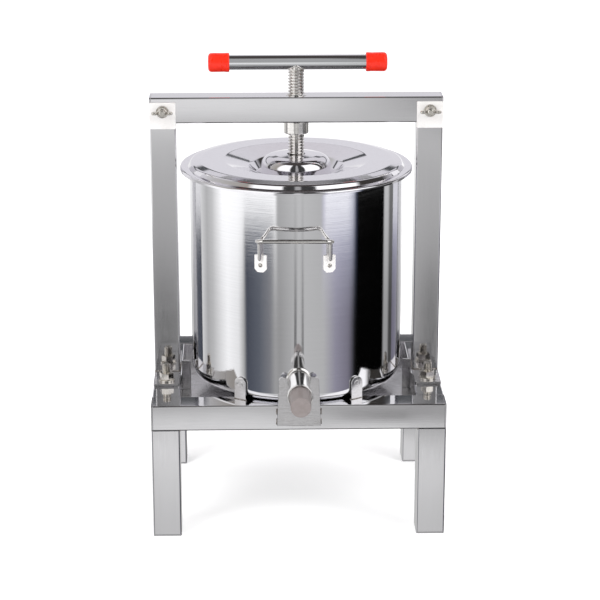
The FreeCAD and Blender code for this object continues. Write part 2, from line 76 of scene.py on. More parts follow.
# Bolts, washers and wing nuts
FOOT_BOLT = 8.0
FOOT_BOLT_FLATS = 12.0
FOOT_BOLT_PITCH = 1.25
FOOT_BOLT_THREADED = 24
FOOT_BOLT_Y = 39.0
FOOT_HOLE_RADIUS = 4.3
FOOT_BOLT_TURNS = (17, 48, 5, 33)
FOOT_WASHER = 16.0
FOOT_WASHER_BORE = 8.6
FOOT_WASHER_SHEET = 1.6
CLAMP_BOLT = 6.0
CLAMP_BOLT_FLATS = 10.0
CLAMP_BOLT_HEAD = 4.0
CLAMP_BOLT_PITCH = 1.0
CLAMP_BOLT_THREADED = 14
CLAMP_HOLE_RADIUS = 3.3
CLAMP_WASHER_BORE = 6.1
CROSSBAR_EAR_SHEET = 2.0
WING_SHEET = 2.7
WING_HUB_HEIGHT = 6.3

# Drum and spout
DRUM_RADIUS = 102.9
DRUM_SHEET = 1.0
DRUM_CORNER = 10.0
SPOUT_BORE = 16.0
COLLAR_START = 100.4
COLLAR_BORE_RADIUS = 10.0
BEAD_RECESS = 1.5

# Grips and their ears
GRIP_AZIMUTH = -2.0
GRIP_SPREAD = 18.0
GRIP_WIRE_RADIUS = 1.9
GRIP_BEND_Z = 292.0
GRIP_HALF = 35.0
GRIP_REACH = 20.8
GRIP_OVERLAP = 5.0
EAR_OUTSIDE = 104.42
EAR_HALF = 5.85
EAR_SHEET = 1.5
EAR_CUT = 3.0

# Lugs, stops and the notched plate at the spout
LUG_INSIDE = 103.8
LUG_HALF = 6.25
LUG_SHEET = 1.5
LUG_ANGLE = 32
STOP_INSIDE = 104.3
YOKE_HALF = 19.0
YOKE_NOTCH = 10.6

# Lid: heights and radii from its rim inwards
LID_SHEET = 0.8
LID_SKIRT = 2.6
LID_FLANGE_Z = 341.4
LID_STEP_RADIUS = 104.0
LID_PLATEAU_Z = 346.8
LID_PLATEAU_RADIUS = 92.0
LID_DISH_RADIUS = 70.0
LID_WELL_EDGE_RADIUS = 46.5
LID_WELL_EDGE_Z = 340.2
LID_WELL_RADIUS = 40.5
LID_WELL_Z = 331.0
LID_DOME_RADIUS = 33.0
LID_DOME_Z = 350.8
LID_HOLE_RADIUS = 8.6

# Floor, in mm, and lights and camera, in metres and degrees
FLOOR_HALF = 60000.0
LIGHT_AIM = Vector((0, 0, 0.2))
CAMERA_PLACE = (-0.0457, -1.9257, 0.8016)
CAMERA_DOWN = 17.24
CAMERA_YAW = -1.47
CAMERA_LENS = 122.9

# The black flag overhead: its height above the horizon at the back, and the reach of its edge
FLAG_HEIGHT = 81
FLAG_EDGE = 33
FLAG_SOLID = 28


def span(node):
    """Lowest and highest corner of a CAD node, in mm."""
    low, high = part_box(node)
    return Vector(low) / MM, Vector(high) / MM


def middle(node):
    low, high = span(node)
    return (low + high) / 2


# --- shapes: a shape is (points, faces) ---
def moved(shape, matrix):
    points, faces = shape
    return [matrix @ Vector(p) for p in points], faces


def at(x, y, z):
    return Matrix.Translation((x, y, z))


def joined(*shapes):
    points, faces = [], []
    for more_points, more_faces in shapes:
        first = len(points)
        points += list(more_points)
        faces += [tuple(i + first for i in f) for f in more_faces]
    return points, faces


def turned(shape, degrees):
    return moved(shape, Matrix.Rotation(math.radians(degrees), 4, "Z"))


def flipped(shape, axis):
    """The shape's mirror image across the plane through the origin with that normal."""
    scale = Matrix.Scale(-1, 4, AXES[axis])
    points, faces = moved(shape, scale)
    return points, [tuple(reversed(f)) for f in faces]


def rounded(corners, steps):
    """Points of straight runs joined by arcs. A corner is (coordinates, radius)."""
    spots = [Vector(c[0]) for c in corners]
    line = [spots[0]]
    for i in range(1, len(corners) - 1):
        point, radius = spots[i], corners[i][1]
        back = (spots[i - 1] - point).normalized()
        ahead = (spots[i + 1] - point).normalized()
        half = back.angle(ahead) / 2
        if radius <= 0 or half > math.radians(89):
            line.append(point)
            continue
        centre = point + (back + ahead).normalized() * (radius / math.sin(half))
        start = point + back * (radius / math.tan(half)) - centre
        end = point + ahead * (radius / math.tan(half)) - centre
        sweep = start.angle(end)
        for k in range(steps + 1):
            t = k / steps
            a = math.sin((1 - t) * sweep) / math.sin(sweep)
            b = math.sin(t * sweep) / math.sin(sweep)
            line.append(centre + start * a + end * b)
    line.append(spots[-1])
    return line


def outline(corners, steps=7):
    """A profile of (radius, height) points with rounded corners given as (r, z, rounding)."""
    return [(p.x, p.z) for p in rounded([((r, 0, z), f) for r, z, f in corners], steps)]


def thickened(line, thickness):
    """Closes a profile line into a sheet, thickness to the left of the way it runs."""
    other = []
    for i, (r, z) in enumerate(line):
        r0, z0 = line[max(i - 1, 0)]
        r1, z1 = line[min(i + 1, len(line) - 1)]
        length = math.hypot(r1 - r0, z1 - z0)
        nr, nz = -(z1 - z0) / length, (r1 - r0) / length
        other.append((max(r + nr * thickness, 0), z + nz * thickness))
    return line + other[::-1]


def polar(radius, turn, z):
    """A point by its radius, its share of a full turn and its height."""
    a = 2 * math.pi * turn
    return Vector((radius * math.cos(a), radius * math.sin(a), z))


def lathe(profile, closed=True, steps=ROUND_STEPS):
    """Turns a profile of (radius, height) points about Z."""
    points, rows, faces = [], [], []
    for r, z in profile:
        if r < 1e-6:
            rows.append([len(points)] * steps)
            points.append(Vector((0, 0, z)))
            continue
        rows.append([len(points) + k for k in range(steps)])
        points += [polar(r, k / steps, z) for k in range(steps)]
    pairs = list(zip(rows, rows[1:]))
    if closed:
        pairs.append((rows[-1], rows[0]))
    for low, high in pairs:
        for k in range(steps):
            n = (k + 1) % steps
            face = list(dict.fromkeys((low[k], low[n], high[n], high[k])))
            if len(face) > 2:
                faces.append(tuple(face))
    return points, faces


def bar(diameter, low, high, edge=EDGE, bore=0.0, steps=64):
    """A turned bar or bush along Z with its edges eased."""
    r, b, e = diameter / 2, bore / 2, edge
    outside = [(r - e, low), (r - 0.3 * e, low + 0.3 * e), (r, low + e)]
    outside += [(r, high - e), (r - 0.3 * e, high - 0.3 * e), (r - e, high)]
    if bore:
        inside = [(b + e, high), (b, high - e), (b, low + e), (b + e, low)]
        return lathe(outside + inside, True, steps)
    return lathe([(0, low)] + outside + [(0, high)], False, steps)


def arc(x, y, radius, start, end, step):
    """Points of an arc in XY, from start to end degrees."""
    count = (end - start) // step
    angles = [math.radians(start + step * k) for k in range(count + 1)]
    return [(x + radius * math.cos(a), y + radius * math.sin(a)) for a in angles]


def circle(x, y, radius):
    return arc(x, y, radius, 0, 351, 9)


def square_section(width, height, corner):
    """Points of a rectangle with rounded corners, round the origin."""
    points = []
    for sx, sy, start in ((1, 1, 0), (-1, 1, 90), (-1, -1, 180), (1, -1, 270)):
        cx, cy = sx * (width / 2 - corner), sy * (height / 2 - corner)
        points += arc(cx, cy, corner, start, start + 90, 18)
    return points


def square_tube(low, high, axis, solid=False):
    """A tube with rounded corners that fills the box from low to high along an axis."""
    u, v = [i for i in range(3) if i != axis]
    width, height = high[u] - low[u], high[v] - low[v]
    centre = (low + high) / 2
    e = EDGE
    rows = []
    levels = [(low[axis], e), (low[axis] + 0.3 * e, 0.3 * e), (low[axis] + e, 0)]
    levels += [(high[axis] - e, 0), (high[axis] - 0.3 * e, 0.3 * e), (high[axis], e)]
    for level, inset in levels:
        rows.append((level, width - 2 * inset, height - 2 * inset, TUBE_CORNER - inset))
    if not solid:
        corner = max(TUBE_CORNER - TUBE_WALL, 0.3)
        inner = (width - 2 * TUBE_WALL, height - 2 * TUBE_WALL, corner)
        rows += [(high[axis], *inner), (low[axis], *inner)]
    points, faces = [], []
    for level, w, h, c in rows:
        for a, b in square_section(w, h, c):
            p = [0.0, 0.0, 0.0]
            p[axis], p[u], p[v] = level, centre[u] + a, centre[v] + b
            points.append(Vector(p))
    n = len(points) // len(rows)
    last = len(rows) if not solid else len(rows) - 1
    for i in range(last):
        j = (i + 1) % len(rows)
        for k in range(n):
            m = (k + 1) % n
            faces.append((i * n + k, i * n + m, j * n + m, j * n + k))
    if solid:
        faces += [tuple(range(n)), tuple(range((last + 1) * n - 1, last * n - 1, -1))]
    return points, faces


def final_mesh(made):
    """The object's mesh with its modifiers or curve settings applied."""
    bpy.context.view_layer.update()
    depsgraph = bpy.context.evaluated_depsgraph_get()
    return bpy.data.meshes.new_from_object(made.evaluated_get(depsgraph))


def plate(outlines, thickness, edge=PLATE_EDGE):
    """A flat plate with eased edges, in XY, its middle at z 0. Later outlines are holes."""
    curve = bpy.data.curves.new("plate", "CURVE")
    curve.dimensions = "2D"
    curve.fill_mode = "BOTH"
    curve.extrude = thickness / 2 - edge
    curve.bevel_depth = edge
    curve.bevel_resolution = 1
    curve.offset = -edge
    for points in outlines:
        spline = curve.splines.new("POLY")
        spline.points.add(len(points) - 1)
        for spot, (x, y) in zip(spline.points, points):
            spot.co = (x, y, 0, 1)
        spline.use_cyclic_u = True
    helper = bpy.data.objects.new("plate", curve)
    scene.collection.objects.link(helper)
    mesh = final_mesh(helper)
    bm = bmesh.new()
    bm.from_mesh(mesh)
    bmesh.ops.remove_doubles(bm, verts=bm.verts, dist=1e-3)
    points = [v.co.copy() for v in bm.verts]
    faces = [tuple(v.index for v in f.verts) for f in bm.faces]
    bm.free()
    bpy.data.objects.remove(helper)
    bpy.data.meshes.remove(mesh)
    bpy.data.curves.remove(curve)
    return points, faces


def flat_outline(corners, steps=6):
    """A closed outline in XY with rounded corners, each (x, y, radius)."""
    around = [corners[-1]] + list(corners) + [corners[0]]
    line = rounded([((x, y, 0), r) for x, y, r in around], steps)
    return [(p.x, p.y) for p in line[1:-1]]


def rectangle(x0, x1, y0, y1, radius):
    return flat_outline([(x0, y0, radius), (x1, y0, radius), (x1, y1, radius), (x0, y1, radius)], 3)


def thread(diameter, depth, pitch, low, high, columns):
    """A bar along Z with a right-hand thread cut into it."""
    crest, root = diameter / 2, diameter / 2 - depth
    form = [(0.0, root), (0.10, root), (0.34, crest - 0.12), (0.40, crest)]
    form += [(0.66, crest), (0.72, crest - 0.12), (0.96, root)]
    per_turn = len(form)
    turns = int((high - low) / pitch) + 3
    points, faces = [], []
    for row in range(turns * per_turn):
        share, radius = form[row % per_turn]
        for k in range(columns):
            z = low + pitch * (row // per_turn - 1 + share + k / columns)
            kept = min(max(z, low), high)
            points.append(polar(radius if kept == z else root, k / columns, kept))
    rows = turns * per_turn
    for row in range(rows - 1):
        for k in range(columns - 1):
            first = row * columns + k
            faces.append((first, first + 1, first + 1 + columns, first + columns))
        if row + per_turn + 1 < rows:
            left = row * columns + columns - 1
            right = (row + per_turn) * columns
            faces.append((left, right, right + columns, left + columns))
    faces.append(tuple(reversed(range(columns))))
    faces.append(tuple(range((rows - 1) * columns, rows * columns)))
    return points, faces


def hexagon(flats, low, high, bore=0.0):
    """A hex head or nut along Z with turned chamfers at both ends."""
    inner = 0.475 * flats
    slope = math.tan(math.radians(25))
    rows = [[], [], [], []]
    count = 72
    for k in range(count):
        a = 2 * math.pi * k / count
        off = (a % (math.pi / 3)) - math.pi / 6
        r = flats / 2 / math.cos(off)
        drop = (r - inner) * slope
        levels = ((inner, low), (r, low + drop), (r, high - drop), (inner, high))
        for row, (radius, z) in zip(rows, levels):
            row.append(polar(radius, k / count, z))
    if bore:
        rows += [[polar(bore / 2, k / count, z) for k in range(count)] for z in (high, low)]
    points = [p for row in rows for p in row]
    faces = []
    for i in range(len(rows) if bore else len(rows) - 1):
        j = (i + 1) % len(rows)
        for k in range(count):
            n = (k + 1) % count
            faces.append((i * count + k, i * count + n, j * count + n, j * count + k))
    if not bore:
        faces += [tuple(reversed(range(count))), tuple(range(3 * count, 4 * count))]
    return points, faces


def wire(line, radius, sides, ripple=None):
    """A round bar along a line of points, with rounded ends. ripple(i) scales its radius."""
    cap = [(math.cos(a), math.sin(a)) for a in (math.radians(d) for d in (80, 60, 40, 20))]
    start_way = (line[1] - line[0]).normalized()
    end_way = (line[-1] - line[-2]).normalized()
    path = [(line[0] + start_way * radius * (1 - s), c) for c, s in cap]
    body = [(p, 1.0) for p in line[1:-1]]
    path += [(line[0] + start_way * radius, 1.0)] + body + [(line[-1] - end_way * radius, 1.0)]
    path += [(line[-1] - end_way * radius * (1 - s), c) for c, s in reversed(cap)]
    points, faces = [line[0]], []
    side = start_way.orthogonal().normalized()
    for i, (centre, scale) in enumerate(path):
        before = path[max(i - 1, 0)][0]
        after = path[min(i + 1, len(path) - 1)][0]
        way = (after - before).normalized()
        side = (side - way * side.dot(way)).normalized()
        other = way.cross(side)
        size = radius * scale * (ripple(i) if ripple else 1.0)
        for k in range(sides):
            a = 2 * math.pi * k / sides
            points.append(centre + side * (size * math.cos(a)) + other * (size * math.sin(a)))
    points.append(line[-1])
    last = len(points) - 1
    for k in range(sides):
        n = (k + 1) % sides
        faces.append((0, 1 + n, 1 + k))
        for i in range(len(path) - 1):
            a, b = 1 + i * sides, 1 + (i + 1) * sides
            faces.append((a + k, a + n, b + n, b + k))
        faces.append((last - sides + k, last - sides + n, last))
    return points, faces


def weld(start, end, width=1.6):
    """A row of weld ripples from start to end."""
    start, end = Vector(start), Vector(end)
    count = max(int((end - start).length / 0.45), 6)
    line = []
    for i in range(count + 1):
        wander = Vector([random.uniform(-0.12, 0.12) for _ in range(3)])
        line.append(start.lerp(end, i / count) + wander)

    def ripple(i):
        return 1.0 + 0.16 * math.sin(i * 1.9) + random.uniform(-0.08, 0.08)

    return wire(line, width / 2, 10, ripple)


# --- materials ---
class Tree:
    """A short way to write a node tree."""

    def __init__(self, tree):
        self.tree = tree

    def add(self, kind, inputs=None, **settings):
        node = self.tree.nodes.new(kind)
        for key, value in settings.items():
            setattr(node, key, value)
        for key, value in (inputs or {}).items():
            self.put(node.inputs[key], value)
        return node

    def put(self, socket, value):
        if isinstance(value, bpy.types.NodeSocket):
            self.tree.links.new(value, socket)
        else:
            socket.default_value = value

    def calc(self, operation, *values):
        node = self.add("ShaderNodeMath", dict(enumerate(values)), operation=operation)
        return node.outputs[0]

    def blend(self, factor, a, b):
        node = self.add("ShaderNodeMix", data_type="RGBA")
        for index, value in ((0, factor), (6, a), (7, b)):
            self.put(node.inputs[index], value)
        return node.outputs[2]

    def ramp(self, value, stops):
        """A colour ramp over 0 to 1. Stops are (place, grey or colour)."""
        node = self.add("ShaderNodeValToRGB", {0: value})
        elements = node.color_ramp.elements
        while len(elements) > 1:
            elements.remove(elements[-1])
        for i, (place, tone) in enumerate(stops):
            spot = elements[0] if i == 0 else elements.new(place)
            spot.position = place
            spot.color = (tone, tone, tone, 1) if isinstance(tone, float) else (*tone, 1)
        return node.outputs[0]


class Nodes(Tree):
    """A material's node tree."""

    def __init__(self, name):
        self.material = bpy.data.materials.new(name)
        self.material.use_nodes = True
        super().__init__(self.material.node_tree)
        self.shader = self.tree.nodes["Principled BSDF"]
        self.place = self.add("ShaderNodeTexCoord").outputs["Object"]

    def mapped(self, scale):
        return self.add("ShaderNodeMapping", {"Vector": self.place, "Scale": scale}).outputs[0]

    def noise(self, scale, detail=3.0, rough=0.5, vector=None):
        place = vector or self.place
        inputs = {"Vector": place, "Scale": scale, "Detail": detail, "Roughness": rough}
        return self.add("ShaderNodeTexNoise", inputs).outputs["Fac"]

    def to_range(self, value, low, high, start=0.3, end=0.7):
        limits = {"From Min": start, "From Max": end, "To Min": low, "To Max": high}
        return self.add("ShaderNodeMapRange", {"Value": value, **limits}).outputs[0]

    def bump(self, height, strength, distance, normal=None):
        inputs = {"Height": height, "Strength": strength, "Distance": distance}
        if normal:
            inputs["Normal"] = normal
        return self.add("ShaderNodeBump", inputs).outputs[0]

    def finish(self, **values):
        for key, value in values.items():
            self.put(self.shader.inputs[key.replace("_", " ")], value)
        return self.material


def steel(name, color, rough, grain, streaks=0.25, waves=0.0, spread=0.06, spots=0.0, metal=1.0):
    """Polished stainless. grain is how stretched the brush lines are along X, Y and Z."""
    n = Nodes(name)
    lines = n.noise(1.0, 4.0, 0.65, n.mapped(grain))
    fine = n.noise(1.0, 2.0, 0.6, n.mapped([3.1 * g for g in grain]))
    cloud = n.noise(14.0, 3.0, 0.55)
    dark = [c * (1 - spread) for c in color] + [1]
    light = [min(c * (1 + spread), 1) for c in color] + [1]
    tone = n.blend(n.to_range(lines, 0.0, 1.0), dark, light)
    if spots:
        stain = n.to_range(n.noise(55.0, 5.0, 0.7), 0.0, spots, 0.52, 0.72)
        tone = n.blend(stain, tone, (0.36, 0.33, 0.30, 1))
    smear = n.to_range(cloud, 0.75, 1.35)
    roughness = n.calc("MULTIPLY", n.to_range(fine, rough * 0.7, rough * 1.4), smear)
    normal = n.bump(lines, streaks, 0.00004)
    if waves:
        normal = n.bump(n.noise(9.0, 1.0, 0.4), waves, 0.002, normal)
    return n.finish(Base_Color=tone, Metallic=metal, Roughness=roughness, Normal=normal)


def along(axis, fine=2400.0, coarse=14.0):
    """Brush lines that run along an axis."""
    return [coarse if i == axis else fine for i in range(3)]


frame_steel = [
    steel("frame_steel_" + "xyz"[i], (0.72, 0.715, 0.73), 0.06, along(i), 0.05, 0.01, 0.025)
    for i in range(3)]
plate_steel = steel("plate_steel", (0.70, 0.69, 0.70), 0.17, along(0, 900.0, 60.0), 0.25, 0.25, 0.08, 0.25)
drum_steel = steel("drum_steel", (0.84, 0.84, 0.86), 0.05, (9.0, 9.0, 2100.0), 0.20, 0.02, 0.03)
lid_steel = steel("lid_steel", (0.80, 0.79, 0.82), 0.06, (260.0, 260.0, 260.0), 0.06, 0.03, 0.03)
spout_steel = steel("spout_steel", (0.84, 0.83, 0.82), 0.08, (900.0, 60.0, 900.0), 0.15, 0.0, 0.04)
inner_steel = steel("inner_steel", (0.62, 0.62, 0.63), 0.26, (40.0, 40.0, 900.0), 0.35, 0.1)
screw_steel = steel("screw_steel", (0.80, 0.78, 0.76), 0.11, (60.0, 60.0, 3000.0), 0.25, 0.0, 0.08, 0.3)
bolt_steel = steel("bolt_steel", (0.74, 0.71, 0.66), 0.20, (700.0, 700.0, 700.0), 0.4, 0.0, 0.10, 0.35)
chrome = steel("handle_chrome", (0.80, 0.81, 0.83), 0.05, along(0, 1500.0, 20.0), 0.10, 0.05, 0.03)
grip_steel = steel("grip_steel", (0.82, 0.80, 0.78), 0.10, (500.0, 500.0, 500.0), 0.15, 0.0, 0.05)
ear_steel = steel("ear_steel", (0.93, 0.91, 0.90), 0.45, (700.0, 700.0, 700.0), 0.25, 0.0, 0.03, 0.10, 0.3)


def weld_metal():
    n = Nodes("weld_metal")
    heat = n.to_range(n.noise(420.0, 3.0, 0.6), 0.0, 1.0, 0.35, 0.65)
    tone = n.blend(heat, (0.20, 0.17, 0.15, 1), (0.58, 0.55, 0.52, 1))
    normal = n.bump(n.noise(2600.0, 3.0, 0.6), 0.5, 0.0002)
    roughness = n.to_range(heat, 0.45, 0.25, 0, 1)
    return n.finish(Base_Color=tone, Metallic=1.0, Roughness=roughness, Normal=normal)


def cap_vinyl():
    """Dipped red vinyl: glossy, with a fine orange peel and a slightly darker mottle."""
    n = Nodes("cap_red_vinyl")
    mottle = n.to_range(n.noise(160.0, 4.0, 0.6), 0.0, 1.0)
    tone = n.blend(mottle, (0.70, 0.016, 0.004, 1), (0.82, 0.024, 0.007, 1))
    peel = n.bump(n.noise(900.0, 2.0, 0.5), 0.25, 0.0003)
    return n.finish(
        Base_Color=tone,
        Roughness=n.to_range(n.noise(300.0, 3.0, 0.6), 0.24, 0.36),
        Normal=peel,
        Subsurface_Weight=0.08,
        Subsurface_Radius=(0.004, 0.001, 0.0005),
        Specular_IOR_Level=0.30,
        Coat_Weight=0.22,
        Coat_Roughness=0.10,
    )


def stopper_silicone():
    n = Nodes("stopper_silicone")
    mottle = n.to_range(n.noise(240.0, 4.0, 0.6), 0.0, 1.0)
    tone = n.blend(mottle, (0.21, 0.18, 0.175, 1), (0.25, 0.22, 0.215, 1))
    skin = n.bump(n.noise(1800.0, 3.0, 0.6), 0.25, 0.0002)
    return n.finish(Base_Color=tone, Roughness=n.to_range(mottle, 0.42, 0.55, 0, 1), Normal=skin)


weld_steel = weld_metal()
red_vinyl = cap_vinyl()
grey_silicone = stopper_silicone()


# --- pieces ---
def mesh_object(name, shape):
    mesh = bpy.data.meshes.new(name)
    mesh.from_pydata([p * MM for p in shape[0]], [], shape[1])
    made = bpy.data.objects.new(name, mesh)
    scene.collection.objects.link(made)
    return made


def piece(name, shape, material, body, nodes=()):
    """Makes a shape an object that rides on a body and stands for some CAD nodes."""
    made = mesh_object(name, shape)
    mesh = made.data
    bm = bmesh.new()
    bm.from_mesh(mesh)
    bmesh.ops.remove_doubles(bm, verts=bm.verts, dist=1e-7)
    bmesh.ops.dissolve_degenerate(bm, edges=bm.edges, dist=1e-8)
    bmesh.ops.recalc_face_normals(bm, faces=bm.faces)
    bm.to_mesh(mesh)
    bm.free()
    mesh.shade_smooth()
    mesh.set_sharp_from_angle(angle=math.radians(SHARP_ANGLE))
    mesh.materials.append(material)
    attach(made, body)
    if nodes:
        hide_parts(*nodes)
    even = made.modifiers.new("even", "WEIGHTED_NORMAL")
    even.keep_sharp = True
    return made


def frame_piece(name, shape, material, node):
    return piece(name, shape, material, "stand", [node])


def tube_piece(node, axis):
    frame_piece(node + "_tube", square_tube(*span(node), axis), frame_steel[axis], node)


def drum_piece(name, shape, material, node):
    return piece(name, shape, material, "stand", [node])


def fastener(name, shape, node, body="stand"):
    return piece(name, shape, bolt_steel, body, [node])


def at_corners(shape):
    """The shape and its three mirror images across X and Y."""
    pair = joined(shape, flipped(shape, 1))
    return joined(pair, flipped(pair, 0))


def make_stand():
    for node in ("front_rail", "rear_rail"):
        tube_piece(node, 0)
    for node in ("left_side_rail", "right_side_rail"):
        tube_piece(node, 1)
    for node in ("front_left_leg", "front_right_leg", "rear_left_leg", "rear_right_leg"):
        tube_piece(node, 2)
    low, high = span("rail_end_plates")
    rail_low, rail_high = span("front_rail")
    corner_low = Vector((rail_high.x, rail_low.y, low.z))
    corner_high = Vector((high.x, rail_high.y, high.z))
    plates = at_corners(square_tube(corner_low, corner_high, 0, solid=True))
    frame_piece("rail_end_plates_ground", plates, frame_steel[1], "rail_end_plates")
    foot_low, foot_high = span("leg_feet")
    leg_low, leg_high = span("front_right_leg")
    corner_low = Vector((leg_low.x, leg_low.y, foot_low.z))
    corner_high = Vector((leg_high.x, leg_high.y, foot_high.z))
    feet = at_corners(square_tube(corner_low, corner_high, 2, solid=True))
    frame_piece("leg_feet_plates", feet, frame_steel[1], "leg_feet")
    low, high = span("floor_pan")
    pan = plate([rectangle(low.x, high.x, low.y, high.y, 2.0)], high.z - low.z, 0.2)
    pan = moved(pan, at(0, 0, (low.z + high.z) / 2))
    frame_piece("floor_pan_sheet", pan, plate_steel, "floor_pan")


def make_posts():
    for side in ("left", "right"):
        tube_piece(side + "_post", 2)
        node = side + "_foot_plate"
        low, high = span(node)
        centre = (low + high) / 2
        holes = [circle(0, y, FOOT_HOLE_RADIUS) for y in (-FOOT_BOLT_Y, FOOT_BOLT_Y)]
        edge = rectangle(low.x - centre.x, high.x - centre.x, low.y, high.y, 1.2)
        shape = plate([edge] + holes, high.z - low.z)
        shape = moved(shape, at(centre.x, 0, centre.z))
        frame_piece(node + "_cut", shape, plate_steel, node)
        make_ears(side)


def make_ears(side):
    """The two plates on a post's top that hold the crossbar between them."""
    node = side + "_crossbar_ears"
    low, high = span(node)
    bolt = middle(side + "_wing_nut")
    half = (high.x - low.x) / 2
    edge = rectangle(-half, half, low.z - bolt.z, high.z - bolt.z, 1.0)
    ear = plate([edge, circle(0, 0, CLAMP_HOLE_RADIUS)], CROSSBAR_EAR_SHEET)
    ear = moved(ear, at(bolt.x, low.y + CROSSBAR_EAR_SHEET / 2, bolt.z) @ Z_TO_FRONT)
    frame_piece(node + "_cut", joined(ear, flipped(ear, 1)), ear_steel, node)


def make_crossbar():
    tube_piece("crossbar", 0)
    bar_low, bar_high = span("crossbar")
    low, high = span("crossbar_end_plates")
    one = square_tube(Vector((bar_high.x, low.y, low.z)), high, 0, solid=True)
    shape = joined(one, flipped(one, 0))
    frame_piece("crossbar_end_plates_ground", shape, frame_steel[1], "crossbar_end_plates")
    low, high = span("screw_nut")
    collar_top = bar_low.z - 0.02
    top = high.z + 0.4
    r, neck, bore = (high.x - low.x) / 2, NUT_NECK_RADIUS, NUT_BORE_RADIUS
    profile = [(bore + 0.8, low.z, 0), (r, low.z, 1.0), (r, collar_top, 0.6), (neck, collar_top, 0)]
    profile += [(neck, top, 0.3), (bore + 0.8, top, 0)]
    nut = lathe(outline(profile) + [(bore, top - 0.8), (bore, low.z + 0.8)])
    piece("screw_nut_turned", nut, screw_steel, "stand", ["screw_nut"])


def bolt_shape(diameter, flats, head, length, pitch, threaded):
    """A hex bolt along Z, its head below z 0 and its thread at the top end."""
    depth = 0.61 * pitch
    plain = bar(diameter, -0.05, length - threaded, 0.05, steps=40)
    cut = thread(diameter, depth, pitch, length - threaded, length - 0.5, 32)
    core, point = diameter / 2 - depth, diameter / 2 - 0.8 * pitch
    start = length - 0.9
    tip = lathe([(0, start), (core, start), (core, length - 0.2), (point, length), (0, length)], False, 32)
    return joined(plain, cut, tip, hexagon(flats, -head, 0))


def make_foot_bolts():
    low, high = span("foot_bolts")
    nut_low, nut_high = span("foot_nuts")
    washer_low, washer_high = span("foot_washers")
    x = middle("right_foot_plate").x
    head_top = washer_low.z
    bolts, nuts, washers = [], [], []
    bolt = bolt_shape(
        FOOT_BOLT, FOOT_BOLT_FLATS, head_top - low.z, high.z - head_top, FOOT_BOLT_PITCH, FOOT_BOLT_THREADED)
    nut = hexagon(FOOT_BOLT_FLATS, nut_low.z, nut_high.z, FOOT_BOLT)
    for (sx, sy), degrees in zip(((1, -1), (-1, -1), (1, 1), (-1, 1)), FOOT_BOLT_TURNS):
        place = at(sx * x, sy * FOOT_BOLT_Y, 0)
        bolts.append(moved(turned(bolt, degrees), place @ at(0, 0, head_top)))
        nuts.append(moved(turned(nut, degrees), place))
        for z in (washer_low.z, washer_high.z - FOOT_WASHER_SHEET):
            washer = bar(FOOT_WASHER, z, z + FOOT_WASHER_SHEET, 0.2, FOOT_WASHER_BORE)
            washers.append(moved(washer, place))
    fastener("foot_bolts_threaded", joined(*bolts), "foot_bolts")
    fastener("foot_nuts_chamfered", joined(*nuts), "foot_nuts")
    fastener("foot_washers_pressed", joined(*washers), "foot_washers")


def make_clamp_bolts():
    low, high = span("clamp_bolts")
    seat = high.y - CLAMP_BOLT_HEAD
    bolt = bolt_shape(
        CLAMP_BOLT, CLAMP_BOLT_FLATS, CLAMP_BOLT_HEAD, seat - low.y, CLAMP_BOLT_PITCH, CLAMP_BOLT_THREADED)
    nut = middle("right_wing_nut")
    pair = [moved(bolt, at(x, seat, nut.z) @ Z_TO_FRONT) for x in (-nut.x, nut.x)]
    fastener("clamp_bolts_threaded", joined(*pair), "clamp_bolts")
    for side in ("left", "right"):
        node = side + "_clamp_washer"
        low, high = span(node)
        centre = (low + high) / 2
        washer = bar(high.x - low.x, 0, high.y - low.y, 0.2, CLAMP_WASHER_BORE)
        washer = moved(washer, at(centre.x, high.y, centre.z) @ Z_TO_FRONT)
        fastener(node + "_pressed", washer, node, side + "_washer")
        make_wing_nut(side)


def make_wing_nut(side):
    """A cast wing nut: hub and wings melted into one skin, then smoothed."""
    node = side + "_wing_nut"
    low, high = span(node)
    centre = (low + high) / 2
    tip = (high.x - low.x) / 2 - 0.4
    height = WING_HUB_HEIGHT
    hub = lathe(outline([(0, 0, 0), (4.9, 0, 0.5), (4.3, height, 0.8), (0, height, 0)]), False, 48)
    wing = flat_outline([
        (2.0, 0.8, 0), (5.6, 0.8, 1.0), (tip, 4.2, 1.5), (tip, 9.3, 2.3), (tip - 4.2, 9.3, 2.3),
        (2.0, 5.6, 0.5)])
    blade = moved(plate([wing], WING_SHEET, 0.9), Z_TO_FRONT)
    body = joined(hub, blade, turned(blade, 180))
    body = moved(body, at(centre.x, high.y, centre.z) @ Z_TO_FRONT)
    made = fastener(node + "_cast", body, node, side + "_nut")
    made.modifiers.clear()
    melt = made.modifiers.new("melt", "REMESH")
    melt.mode = "VOXEL"
    melt.voxel_size = 0.28 * MM
    melt.use_smooth_shade = True
    soften = made.modifiers.new("soften", "SMOOTH")
    soften.iterations = 6
    soften.factor = 0.5


# --- drum, spout and grips ---
def make_drum():
    """One sheet with a spout hole. The extra rings at the ends of its wall keep the wall's shading flat."""
    low, high = span("drum")
    r, base, rim = DRUM_RADIUS, low.z, high.z - DRUM_SHEET
    corner_end = DRUM_CORNER + 1.0
    line = outline([
        (0, base, 0), (r - corner_end, base, 0), (r, base, DRUM_CORNER), (r, base + corner_end, 0),
        (r, rim - 3.0, 0), (r, rim, 2.0), (high.x, rim, 0)], 12)
    shell = drum_piece("drum_shell", lathe(thickened(line, DRUM_SHEET), True, 256), drum_steel, "drum")
    cutter = mesh_object("cutter", along_spout(bar(SPOUT_BORE, 90, 120)))
    shell.modifiers.clear()
    hole = shell.modifiers.new("spout_hole", "BOOLEAN")
    hole.operation = "DIFFERENCE"
    hole.object = cutter
    mesh = final_mesh(shell)
    shell.modifiers.clear()
    shell.data = mesh
    bpy.data.objects.remove(cutter)


def along_spout(shape):
    return moved(shape, at(0, 0, middle("spout_pipe").z) @ Z_TO_FRONT)


